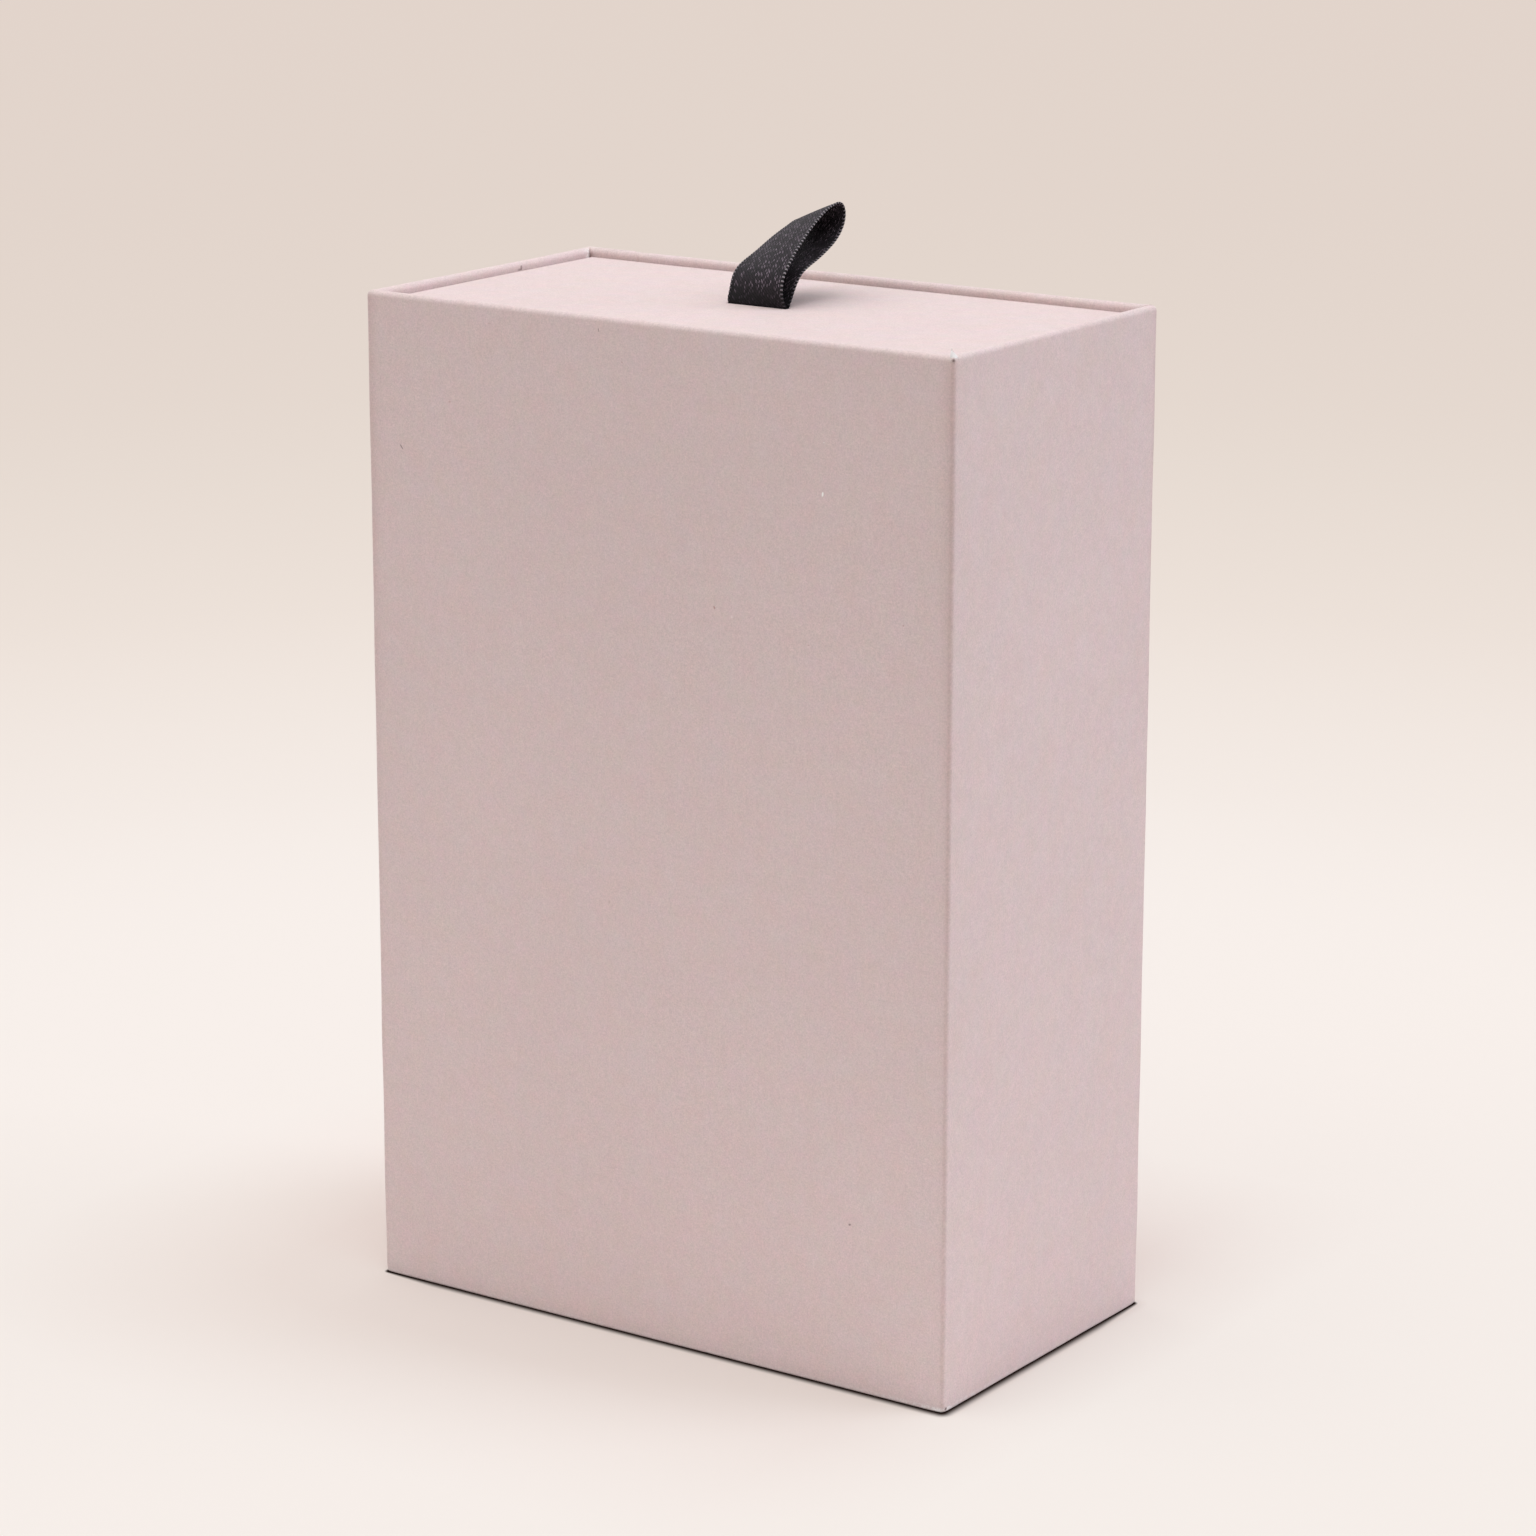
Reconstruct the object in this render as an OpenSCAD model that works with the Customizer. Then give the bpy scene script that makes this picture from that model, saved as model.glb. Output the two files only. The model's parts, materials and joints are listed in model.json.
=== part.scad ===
// Sliding drawer gift box in wrapped board: a slim sleeve, closed at one end, and a drawer
// with a woven ribbon pull in its front.
// The box stands on the closed end of the sleeve, so the drawer is drawn upwards out of it.
// Millimetres. The origin is the middle of the face that the box stands on, +Z is up,
// the sleeve's wide front face looks towards -Y and the drawer's open side looks that way too.

/* [Sleeve] */
// Outer width of the sleeve, along X
sleeve_w = 150; // [110:1:220]
// Outer depth of the sleeve, along Y
sleeve_d = 80; // [72:1:120]
// Outer height of the sleeve, from the face it stands on to its rim
sleeve_h = 224; // [140:1:320]

/* [Drawer] */
// Running clearance between the drawer and the sleeve, on each side
side_clearance = 0.6; // [0.3:0.1:1.2]
// How far the drawer's front lies below the sleeve's rim when the drawer is in
front_recess = 1.7; // [0.5:0.1:4]

/* [Board and paper] */
// Thickness of the board of all walls
board_t = 2; // [1.6:0.1:3]
// Thickness of the wrapping and lining papers
paper_t = 0.15; // [0.1:0.01:0.2]
// Thickness of the stay tape over the board's corners
tape_t = 0.1; // [0.06:0.01:0.14]
// Width of each of the two legs of a stay tape
tape_leg = 12; // [6:1:20]
// Outer radius of the wrap at the corners between the walls
corner_r = 1.2; // [0.9:0.1:1.6]
// Outer radius of the wrap where it turns over a rim or a closed side
rim_r = 0.8; // [0.6:0.05:0.9]
// Depth of wrap that is turned in over a rim
turn_in = 16; // [8:1:18]
// Width of wrap that is turned under the sleeve's closed end
turn_under = 14; // [8:1:24]
// Strip left bare round the paper on the sleeve's closed end
end_paper_inset = 2.5; // [1.5:0.5:6]
// Hairline left between a turned-in edge and the lining that meets it
lining_gap = 0.3; // [0.1:0.1:1]

/* [Ribbon pull] */
// Width of the ribbon, along X
ribbon_w = 15; // [10:1:24]
// Thickness of the ribbon
ribbon_t = 0.4; // [0.3:0.05:0.5]
// Space between the ribbon's two legs in the slit
leg_gap = 0.5; // [0.2:0.1:0.8]
// Clearance of the ribbon in the slit, all round
slit_clearance = 0.3; // [0.2:0.05:0.6]
// Length of each glued tail behind the drawer's front
tail_len = 15; // [8:1:17]
// Height of the loop along its own middle line, from the slit to its fold
loop_len = 30; // [20:1:36]
// Length over which the loop bends back from upright to its lean
loop_bend = 5.3; // [3:0.1:10]
// Lean of the loop from upright at its +X edge, in degrees
lean_right = 56; // [40:1:62]
// Lean of the loop from upright at its -X edge, in degrees
lean_left = 70; // [50:1:72]
// How fast the two legs part above the slit
loop_spread = 2.2; // [1.4:0.1:2.4]
// How much wider the loop grows towards its fold
loop_belly = 3; // [2:0.1:3.6]

/* [Hidden] */
$fn = 48;

wrap_colour = [0.80, 0.71, 0.70];
lining_colour = [0.86, 0.78, 0.77];
board_colour = [0.58, 0.56, 0.53];
tape_colour = [0.74, 0.62, 0.46];
ribbon_colour = [0.13, 0.13, 0.15];

// What lies on the board's outer side, and the whole thickness of a papered wall
skin_t = paper_t + tape_t;
wall_t = skin_t + board_t + paper_t;
// Height of a floor board's upper face above the outer face of the wrap under it
floor_top = paper_t + board_t;
// Bevels that let the board's edges fill the paper's round turns without cutting into them
outer_bevel = rim_r - skin_t;
inner_bevel = rim_r - paper_t;
corner_bevel = corner_r - skin_t;

// The sleeve's wrap ends one paper above the ground: the end paper lies under it
wrap_h = sleeve_h - paper_t;
end_t = paper_t + floor_top + paper_t;

// The drawer's outer size, and the height of its front when it is in
drawer_w = sleeve_w - 2 * (wall_t + side_clearance);
drawer_d = sleeve_d - 2 * (wall_t + side_clearance);
drawer_len = sleeve_h - front_recess - end_t;
front_z = sleeve_h - front_recess;
front_inner_z = front_z - skin_t - board_t;

// The ribbon's legs stand side by side in the slit, one on each side of y = 0
leg_mid = (leg_gap + ribbon_t) / 2;
leg_reach = leg_mid + ribbon_t / 2;
slit_w = 2 * (leg_reach + slit_clearance);
slit_len = ribbon_w + 2 * slit_clearance;
// The tails stop just above the drawer's front, and the loop swings clear of them above
stub_h = 0.05;
swing_gap = 0.1;
hinge_z = front_z + stub_h + leg_reach + swing_gap;
// Space between the glued tails and the paper pasted over them
tail_room = 0.1;
// Steps round the loop
loop_steps = 56;

// ---- Paper and board shapes, shared by the sleeve and the drawer -------------------------
// They are drawn as an open box, outer size w by d by h, that stands on z = 0 with its open
// side up and its middle at x = y = 0.

// Quarter of a circle, from the -X side to the +Y side
module quarter_disc(r) {
    intersection() {
        circle(r);
        translate([-r, 0]) square(r);
    }
}

// Section of a sheet bent a quarter turn round the origin
module quarter_bend(r, t) {
    difference() {
        quarter_disc(r);
        circle(r - t);
    }
}

module round_rect(w, h, r) {
    square([w, h - 2 * r], center = true);
    square([w - 2 * r, h], center = true);
    for (right = [0, 1], low = [0, 1]) mirror([right, 0]) mirror([0, low])
        translate([r - w / 2, h / 2 - r]) quarter_disc(r);
}

// Block with round edges, its faces set in by inset
module round_block(w, d, h, inset) {
    block_w = w - 2 * inset;
    block_d = d - 2 * inset;
    block_h = h - 2 * inset;
    intersection() {
        linear_extrude(h) round_rect(block_w, block_d, corner_r - inset);
        translate([0, 0, h / 2]) rotate([90, 0, 0]) linear_extrude(d, center = true)
            round_rect(block_w, block_h, rim_r - inset);
        translate([0, 0, h / 2]) rotate([90, 0, 90]) linear_extrude(w, center = true)
            round_rect(block_d, block_h, rim_r - inset);
    }
}

// Section of the space between two walls, w apart outside, down to where the wrap's
// turned-in edge ends, with round rims on both sides
module mouth_section(w, h, inset) {
    inner = w / 2 - wall_t;
    difference() {
        translate([-inner - rim_r, h - turn_in])
            square([2 * (inner + rim_r), turn_in + rim_r]);
        for (right = [0, 1]) mirror([right, 0]) {
            translate([inner + rim_r, h - rim_r]) quarter_disc(rim_r - inset);
            translate([inner + inset, h - 2 * turn_in])
                square([wall_t, 2 * turn_in - rim_r]);
        }
    }
}

module mouth(w, d, h, inset) {
    intersection() {
        rotate([90, 0, 0]) linear_extrude(d, center = true) mouth_section(w, h, inset);
        rotate([90, 0, 90]) linear_extrude(w, center = true) mouth_section(d, h, inset);
    }
}

// The form that the wrap follows, its faces set in by inset
module wrapped_form(w, d, h, inset) {
    difference() {
        round_block(w, d, h, inset);
        mouth(w, d, h, inset);
    }
}

// One sheet of paper over the closed side and the walls, over the rim and turned in
module wrap(w, d, h) {
    difference() {
        wrapped_form(w, d, h, 0);
        wrapped_form(w, d, h, paper_t);
    }
}

// Four copies of a shape, one round the middle of each corner's bend
module at_corners(w, d) {
    for (right = [0, 1], near = [0, 1])
        mirror([right, 0, 0]) mirror([0, near, 0])
            translate([-w / 2 + corner_r, d / 2 - corner_r, 0]) children();
}

// Stay tapes over the four upright corners of the board, under the wrap
module corner_tapes(w, d, h) {
    at_corners(w, d) translate([0, 0, rim_r]) linear_extrude(h - 2 * rim_r) {
        quarter_bend(corner_r - paper_t, tape_t);
        translate([0, corner_r - skin_t]) square([tape_leg, tape_t]);
        translate([paper_t - corner_r, -tape_leg]) square([tape_t, tape_leg]);
    }
}

module bevelled_rect(w, h, bevel) {
    polygon([
        [-w / 2 + bevel, -h / 2],
        [w / 2 - bevel, -h / 2],
        [w / 2, -h / 2 + bevel],
        [w / 2, h / 2 - bevel],
        [w / 2 - bevel, h / 2],
        [-w / 2 + bevel, h / 2],
        [-w / 2, h / 2 - bevel],
        [-w / 2, -h / 2 + bevel]
    ]);
}

// Outer shape of the set-up board, with its edges broken for the paper
module board_envelope(w, d, h) {
    board_w = w - 2 * skin_t;
    board_d = d - 2 * skin_t;
    board_h = h - 2 * paper_t;
    intersection() {
        linear_extrude(h) bevelled_rect(board_w, board_d, corner_bevel);
        translate([0, 0, h / 2]) rotate([90, 0, 0]) linear_extrude(d, center = true)
            bevelled_rect(board_w, board_h, outer_bevel);
        translate([0, 0, h / 2]) rotate([90, 0, 90]) linear_extrude(w, center = true)
            bevelled_rect(board_d, board_h, outer_bevel);
    }
}

// A wall's board before its outer edges are broken: y = 0 here is the wall's outer face
module wall_slab(len, h) {
    inner = skin_t + board_t;
    rotate([90, 0, 90]) linear_extrude(len, center = true) polygon([
        [0, 0],
        [inner, 0],
        [inner, h - paper_t - inner_bevel],
        [inner - inner_bevel, h - paper_t],
        [0, h - paper_t]
    ]);
}

// Wall at -Y, as long as the box is wide
module long_board(w, d, h) {
    intersection() {
        board_envelope(w, d, h);
        translate([0, -d / 2, 0]) wall_slab(w, h);
    }
}

// Wall at -X, fitted between the two long ones
module short_board(w, d, h) {
    intersection() {
        board_envelope(w, d, h);
        translate([-w / 2, 0, 0]) rotate(-90) wall_slab(d - 2 * (skin_t + board_t), h);
    }
}

// Floor fitted inside the four walls
module floor_board(w, d) {
    side = 2 * (skin_t + board_t);
    translate([0, 0, paper_t]) linear_extrude(board_t) square([w - side, d - side], center = true);
}

// ---- Sleeve ------------------------------------------------------------------------------

module in_sleeve() {
    translate([0, 0, paper_t]) children();
}

module sleeve_front_board() {
    color(board_colour) in_sleeve() long_board(sleeve_w, sleeve_d, wrap_h);
}

module sleeve_back_board() {
    color(board_colour) in_sleeve() mirror([0, 1, 0]) long_board(sleeve_w, sleeve_d, wrap_h);
}

module sleeve_left_board() {
    color(board_colour) in_sleeve() short_board(sleeve_w, sleeve_d, wrap_h);
}

module sleeve_right_board() {
    color(board_colour) in_sleeve() mirror([1, 0, 0]) short_board(sleeve_w, sleeve_d, wrap_h);
}

module sleeve_end_board() {
    color(board_colour) in_sleeve() floor_board(sleeve_w, sleeve_d);
}

module sleeve_corner_tapes() {
    color(tape_colour) in_sleeve() corner_tapes(sleeve_w, sleeve_d, wrap_h);
}

// The sleeve's sheet is turned under the closed end, and leaves the middle of it bare
module sleeve_wrap() {
    color(wrap_colour) in_sleeve() difference() {
        wrap(sleeve_w, sleeve_d, wrap_h);
        translate([0, 0, -paper_t]) linear_extrude(3 * paper_t)
            square([sleeve_w - 2 * turn_under, sleeve_d - 2 * turn_under], center = true);
    }
}

// Paper over the turned-under edges of the wrap, the face that the box stands on
module sleeve_end_paper() {
    color(wrap_colour) linear_extrude(paper_t)
        square([sleeve_w - 2 * end_paper_inset, sleeve_d - 2 * end_paper_inset], center = true);
}

// One sheet round the four inner walls, up to the edge of the turned-in wrap
module sleeve_lining() {
    inner = [sleeve_w - 2 * wall_t, sleeve_d - 2 * wall_t];
    color(lining_colour) in_sleeve() translate([0, 0, floor_top])
        linear_extrude(wrap_h - turn_in - lining_gap - floor_top) difference() {
            square([inner.x + 2 * paper_t, inner.y + 2 * paper_t], center = true);
            square(inner, center = true);
        }
}

module sleeve_end_lining() {
    color(lining_colour) in_sleeve() translate([0, 0, floor_top]) linear_extrude(paper_t)
        square([sleeve_w - 2 * wall_t, sleeve_d - 2 * wall_t], center = true);
}

// ---- Drawer ------------------------------------------------------------------------------
// The drawer is the same kind of box laid on its back: its base looks towards +Y, its open
// side towards -Y, and its front, with the slit, is uppermost.

module in_drawer() {
    translate([0, drawer_d / 2, front_z - drawer_len / 2]) rotate([90, 0, 0]) children();
}

// The slit in the middle of the drawer's front
module slit() {
    depth = front_z - front_inner_z;
    translate([-slit_len / 2, -slit_w / 2, front_inner_z - depth])
        cube([slit_len, slit_w, 3 * depth]);
}

module drawer_base_board() {
    color(board_colour) in_drawer() floor_board(drawer_w, drawer_len);
}

module drawer_front_board() {
    color(board_colour) difference() {
        in_drawer() mirror([0, 1, 0]) long_board(drawer_w, drawer_len, drawer_d);
        slit();
    }
}

module drawer_rear_board() {
    color(board_colour) in_drawer() long_board(drawer_w, drawer_len, drawer_d);
}

module drawer_left_board() {
    color(board_colour) in_drawer() short_board(drawer_w, drawer_len, drawer_d);
}

module drawer_right_board() {
    color(board_colour) in_drawer() mirror([1, 0, 0])
        short_board(drawer_w, drawer_len, drawer_d);
}

module drawer_corner_tapes() {
    color(tape_colour) in_drawer() corner_tapes(drawer_w, drawer_len, drawer_d);
}

// The drawer's wrap covers its base in one piece with the walls
module drawer_wrap() {
    color(wrap_colour) difference() {
        in_drawer() wrap(drawer_w, drawer_len, drawer_d);
        slit();
    }
}

// One sheet over the base and up the two sides and the rear
module drawer_lining() {
    inner_w = drawer_w - 2 * wall_t;
    inner_len = drawer_len - 2 * wall_t;
    top = drawer_d - turn_in - lining_gap;
    rear = -inner_len / 2 - paper_t;
    color(lining_colour) in_drawer() difference() {
        translate([-inner_w / 2 - paper_t, rear, floor_top])
            cube([inner_w + 2 * paper_t, inner_len + paper_t, top - floor_top]);
        translate([-inner_w / 2, -inner_len / 2, floor_top + paper_t])
            cube([inner_w, 2 * inner_len, top]);
    }
}

// Paper over the inside of the drawer's front, pasted last, over the ribbon's tails
module drawer_front_lining() {
    sheet_w = drawer_w - 2 * wall_t;
    low = turn_in + lining_gap - drawer_d / 2;
    high = drawer_d / 2 - floor_top - paper_t;
    room_w = ribbon_w + 2 * slit_clearance;
    room_d = 2 * (tail_len + slit_clearance);
    room_t = ribbon_t + tail_room;
    color(lining_colour) translate([0, 0, front_inner_z]) difference() {
        union() {
            translate([-sheet_w / 2, low, -paper_t]) cube([sheet_w, high - low, paper_t]);
            translate([0, 0, -room_t - paper_t]) linear_extrude(room_t + paper_t)
                square([room_w + 2 * paper_t, room_d + 2 * paper_t], center = true);
        }
        translate([0, 0, -room_t]) linear_extrude(2 * room_t)
            square([room_w, room_d], center = true);
    }
}

// ---- Ribbon pull -------------------------------------------------------------------------

// Section of one tail: up through the slit, and turned outwards on the inside of the front
module tail_section() {
    bend_r = slit_clearance + ribbon_t;
    low = front_inner_z - ribbon_t;
    translate([leg_gap / 2, low + bend_r])
        square([ribbon_t, front_z + stub_h - low - bend_r]);
    translate([leg_gap / 2 + bend_r, low + bend_r])
        mirror([0, 1]) quarter_bend(bend_r, ribbon_t);
    translate([leg_gap / 2 + bend_r, low])
        square([tail_len - leg_gap / 2 - bend_r, ribbon_t]);
}

module ribbon_tails() {
    color(ribbon_colour) for (back = [0, 1]) mirror([0, back, 0])
        rotate([90, 0, 90]) linear_extrude(ribbon_w, center = true) tail_section();
}

// The loop is a strip that goes up, over and down again round a middle line. The middle
// line rises from the slit, bends back over loop_bend and runs on straight. turn goes from
// 0 to 360 round the loop: 180 is its fold. Points are [y, z] above the slit.
function lean_at(along, lean) = lean * min(along, loop_bend) / loop_bend;

function middle_point(along, lean) =
    let (
        radius = loop_bend / (lean * PI / 180),
        angle = lean_at(along, lean),
        straight = max(along - loop_bend, 0)
    )
    [radius * (1 - cos(angle)) + straight * sin(angle),
     radius * sin(angle) + straight * cos(angle)];

function along_at(turn) = loop_len * (1 - cos(turn)) / 2;

function half_gap(turn) = sin(turn) * (loop_spread + loop_belly * (1 - cos(turn)) / 2);

// The strip starts where its legs are as far apart as in the slit
start_turn = asin(leg_mid / loop_spread);

function strip_point(turn, lean) =
    let (
        along = along_at(turn) - along_at(start_turn),
        angle = lean_at(max(along, 0), lean)
    )
    middle_point(max(along, 0), lean) + half_gap(turn) * [-cos(angle), sin(angle)];

// Unit vector square to the strip, away from the inside of the loop
function outward(turn, lean) =
    let (
        step = 1,
        way = strip_point(min(turn + step, 360 - start_turn), lean)
            - strip_point(max(turn - step, start_turn), lean)
    )
    [-way.y, way.x] / norm(way);

// Outer and inner points of the strip at its +X and -X edges. The edges keep the ribbon's
// width apart, so they come closer along X where the loop is twisted.
function strip_ring(turn) =
    let (
        right = strip_point(turn, lean_right),
        left = strip_point(turn, lean_left),
        out_right = outward(turn, lean_right) * ribbon_t / 2,
        out_left = outward(turn, lean_left) * ribbon_t / 2,
        half = sqrt(pow(ribbon_w, 2) - pow(norm(right - left), 2)) / 2
    )
    [
        [half, right.x + out_right.x, right.y + out_right.y],
        [half, right.x - out_right.x, right.y - out_right.y],
        [-half, left.x - out_left.x, left.y - out_left.y],
        [-half, left.x + out_left.x, left.y + out_left.y]
    ];

module ribbon_loop() {
    turns = [for (i = [0:loop_steps]) start_turn + (360 - 2 * start_turn) * i / loop_steps];
    points = [for (turn = turns) each strip_ring(turn)];
    last = 4 * loop_steps;
    sides = [
        for (i = [0:loop_steps - 1], k = [0:3])
            let (a = 4 * i + k, b = 4 * i + (k + 1) % 4)
            each [[a, a + 4, b + 4], [a, b + 4, b]]
    ];
    ends = [[0, 1, 2], [0, 2, 3], [last, last + 2, last + 1], [last, last + 3, last + 2]];
    color(ribbon_colour) translate([0, 0, hinge_z]) polyhedron(points, concat(sides, ends));
}

// ---- Assembly ----------------------------------------------------------------------------

sleeve_front_board();
sleeve_back_board();
sleeve_left_board();
sleeve_right_board();
sleeve_end_board();
sleeve_corner_tapes();
sleeve_wrap();
sleeve_end_paper();
sleeve_lining();
sleeve_end_lining();
drawer_base_board();
drawer_front_board();
drawer_rear_board();
drawer_left_board();
drawer_right_board();
drawer_corner_tapes();
drawer_wrap();
drawer_lining();
drawer_front_lining();
ribbon_tails();
ribbon_loop();
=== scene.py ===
"""Sliding drawer gift box in dusty pink paper, with a black woven ribbon pull.

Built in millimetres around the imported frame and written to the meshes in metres.
"""

import json
import math

import bmesh
import bpy
import numpy as np
from mathutils import Matrix, Vector


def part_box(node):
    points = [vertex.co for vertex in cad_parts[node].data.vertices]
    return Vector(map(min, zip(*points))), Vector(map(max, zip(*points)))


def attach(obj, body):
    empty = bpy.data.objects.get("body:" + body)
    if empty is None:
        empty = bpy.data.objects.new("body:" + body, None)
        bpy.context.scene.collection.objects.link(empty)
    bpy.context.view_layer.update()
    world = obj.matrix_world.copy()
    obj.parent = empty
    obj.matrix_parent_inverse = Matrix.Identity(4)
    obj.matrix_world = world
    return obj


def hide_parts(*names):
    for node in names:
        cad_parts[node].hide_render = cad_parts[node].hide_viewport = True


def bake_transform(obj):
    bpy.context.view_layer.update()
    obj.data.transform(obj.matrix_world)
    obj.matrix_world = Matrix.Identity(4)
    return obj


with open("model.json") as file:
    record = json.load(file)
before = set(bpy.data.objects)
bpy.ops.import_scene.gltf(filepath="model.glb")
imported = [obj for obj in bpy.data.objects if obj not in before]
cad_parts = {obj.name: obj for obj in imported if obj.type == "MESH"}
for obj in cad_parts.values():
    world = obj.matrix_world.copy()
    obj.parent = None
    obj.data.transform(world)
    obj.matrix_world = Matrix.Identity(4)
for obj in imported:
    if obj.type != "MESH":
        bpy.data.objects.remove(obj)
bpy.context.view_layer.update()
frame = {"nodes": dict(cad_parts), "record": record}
MM = 0.001


def size_of(node):
    """Lowest and highest corner of a CAD node, in millimetres."""
    low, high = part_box(node)
    return np.array(low) / MM, np.array(high) / MM


# ---- Sizes that the papers and the ribbon follow ---------------------------------------

PAPER = 0.15
WALL = 2.4
CORNER_R = 0.9
INNER_CORNER_R = 0.22
FOLD_R = 0.8
FOOT_R = 0.45
SLEEVE_RIM_R = 1.12
TURN_IN = 16.0
TURN_UNDER = 14.0
LAP = 13.0
EAR_STEPS = 10

# How far the paper lifts over its other end and over a flap, folds in, stands up, and is
# knocked in
LAP_LIFT = 0.13
FLAP_LIFT = 0.11
PLEAT = 0.55
RIDGE = 0.32
KNOCK = 0.15
# Dents in the near upright edge (height, reach, depth), and rows of points that show them
DENTS = ((168.0, 0.9, 0.16), (145.4, 1.6, 0.12))
DENT_ROWS = [144.2, 145.2, 146.2, 167.2, 168.0, 168.8]

SLEEVE_LOW, SLEEVE_HIGH = size_of("sleeve_wrap")
DRAWER_LOW, DRAWER_HIGH = size_of("drawer_wrap")
FRONT_Z = DRAWER_HIGH[2]

# Half sizes of the ribbon's slit, and the radius of its paper's edge
SLIT_HALF_W = 7.78
SLIT_HALF_H = 0.98
SLIT_LIP = 0.18

RIBBON_W = 15.0
RIBBON_T = 0.36
THREAD = 0.30
STITCH = 0.90
# The legs stand LEG_MID from the slit's middle. The tails lie at TAIL_Z, as far as
# TAIL_REACH, and turn up into the legs.
LEG_MID = 0.45
TAIL_Z = 219.85
TAIL_REACH = 14.8
TAIL_TURN_R = 0.5
# Points along the loop's edges, the strip's step, and the steps that soften its bends
LOOP_STEPS = 220
RIBBON_STEP = 0.16
SOFTEN = 9


# ---- Small helpers ----------------------------------------------------------------------

def smooth(x, low, high):
    """0 below low, 1 above high, soft in between."""
    t = np.clip((x - low) / (high - low), 0, 1)
    return t * t * (3 - 2 * t)


def ripple(p, length, seed):
    """Gentle unevenness, about -1 to 1, over that wavelength in millimetres."""
    rng = np.random.default_rng(seed)
    total = np.zeros(len(p))
    for _ in range(5):
        way = rng.normal(size=3)
        way /= np.linalg.norm(way)
        wave = length * rng.uniform(0.7, 1.6)
        total += np.sin(p @ way * 2 * math.pi / wave + rng.uniform(0, 2 * math.pi))
    return total / 2.5


def link(obj):
    bpy.context.scene.collection.objects.link(obj)
    return obj


def mesh_object(name, points, faces, material):
    mesh = bpy.data.meshes.new(name)
    mesh.from_pydata([tuple(p) for p in np.asarray(points, float) * MM], [], faces)
    mesh.validate()
    obj = link(bpy.data.objects.new(name, mesh))
    mesh.materials.append(material)
    return obj


def paint(obj, name, values):
    """Keeps one number a vertex for the material."""
    layer = obj.data.attributes.new(name, "FLOAT", "POINT")
    layer.data.foreach_set("value", np.asarray(values, np.float32))


def finish_mesh(obj, angle=50):
    for polygon in obj.data.polygons:
        polygon.use_smooth = True
    obj.data.set_sharp_from_angle(angle=math.radians(angle))


def thicken(obj, thickness):
    """Gives a sheet its thickness, away from the side that shows."""
    solid = obj.modifiers.new("thickness", "SOLIDIFY")
    solid.thickness = thickness * MM
    solid.offset = -1
    bpy.context.view_layer.objects.active = obj
    obj.select_set(True)
    bpy.ops.object.modifier_apply(modifier=solid.name)
    obj.select_set(False)


# ---- Materials --------------------------------------------------------------------------

class Shader:
    """Short way to write a node tree."""

    def __init__(self, name):
        self.material = bpy.data.materials.new(name)
        self.material.use_nodes = True
        self.tree = self.material.node_tree
        self.tree.nodes.clear()
        self.out = self.tree.nodes.new("ShaderNodeOutputMaterial")
        self.place = self.add("TexCoord").outputs["Object"]

    def put(self, node, key, value):
        socket = node.inputs[key]
        if isinstance(value, bpy.types.NodeSocket):
            self.tree.links.new(value, socket)
        else:
            socket.default_value = value

    def add(self, kind, inputs=(), **settings):
        node = self.tree.nodes.new("ShaderNode" + kind)
        for key, value in settings.items():
            setattr(node, key, value)
        for key, value in dict(inputs).items():
            self.put(node, key, value)
        return node

    def maths(self, operation, a, b=0.0, c=None, clamp=False):
        node = self.add("Math", {0: a, 1: b}, operation=operation, use_clamp=clamp)
        if c is not None:
            self.put(node, 2, c)
        return node.outputs[0]

    def vector(self, operation, a, b=None):
        node = self.add("VectorMath", {0: a}, operation=operation)
        if b is not None:
            self.put(node, 1, b)
        return node

    def noise(self, scale, detail=2.0, roughness=0.5, place=None):
        return self.add("TexNoise", {
            "Vector": place or self.place, "Scale": scale, "Detail": detail,
            "Roughness": roughness,
        }).outputs["Fac"]

    def spread(self, value, low, high, to_low=0.0, to_high=1.0, kind="LINEAR"):
        return self.add("MapRange", {
            "Value": value, "From Min": low, "From Max": high,
            "To Min": to_low, "To Max": to_high,
        }, interpolation_type=kind).outputs["Result"]

    def mix(self, factor, a, b, blend="MIX"):
        node = self.add("Mix", data_type="RGBA", blend_type=blend)
        self.put(node, 0, factor)
        for key, value in ((6, a), (7, b)):
            if not isinstance(value, bpy.types.NodeSocket):
                value = (*value, 1.0)
            self.put(node, key, value)
        return node.outputs[2]

    def brighten(self, colour, value):
        node = self.add("HueSaturation", {"Color": colour, "Value": value})
        return node.outputs["Color"]

    def vary(self, colour, value, reach):
        """Lets a noise make the colour darker and paler by up to that share."""
        return self.brighten(colour, self.spread(value, 0.3, 0.7, 1 - reach, 1 + reach))

    def painted(self, name):
        return self.add("Attribute", attribute_name=name).outputs["Fac"]

    def bump(self, height, distance, strength=1.0, normal=None):
        node = self.add("Bump", {
            "Height": height, "Distance": distance, "Strength": strength,
        })
        if normal is not None:
            self.put(node, "Normal", normal)
        return node.outputs["Normal"]

    def surface(self, **inputs):
        node = self.add("BsdfPrincipled", {
            key.replace("_", " "): value for key, value in inputs.items()
        })
        self.tree.links.new(node.outputs["BSDF"], self.out.inputs["Surface"])
        return self.material


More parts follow.
